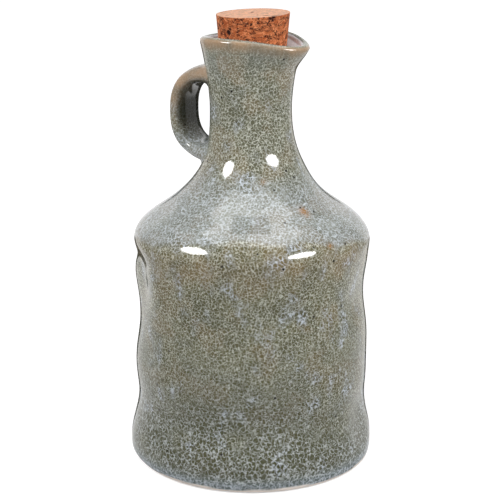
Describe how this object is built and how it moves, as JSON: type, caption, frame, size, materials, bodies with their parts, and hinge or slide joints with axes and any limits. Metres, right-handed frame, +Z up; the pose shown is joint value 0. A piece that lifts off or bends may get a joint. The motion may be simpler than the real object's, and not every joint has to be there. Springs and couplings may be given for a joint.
{
  "type": "vinegar crock",
  "caption": "Cork-stoppered stoneware bottle for vinegar: upright body, sloped shoulder, flared neck with pulled lip, finger-loop handle.",
  "frame": {"origin": "centre of the foot, on the surface that the crock stands on", "axes": "+Z up along the neck, +X towards the pulled lip, -X towards the handle"},
  "size_m": [0.126, 0.126, 0.2297],
  "materials": {
    "glazed_stoneware": "glossy mottled grey-green glaze that breaks rust-brown at the rim",
    "cork": "matt agglomerated cork with dark pits"
  },
  "bodies": {
    "crock": {"crock": "glazed_stoneware"},
    "cork": {"cork": "cork"}
  },
  "joints": [
    {"name": "cork_pull", "type": "slide", "parent": "crock", "child": "cork", "axis": [0, 0, 1], "range_m": [0, 0.032]}
  ]
}
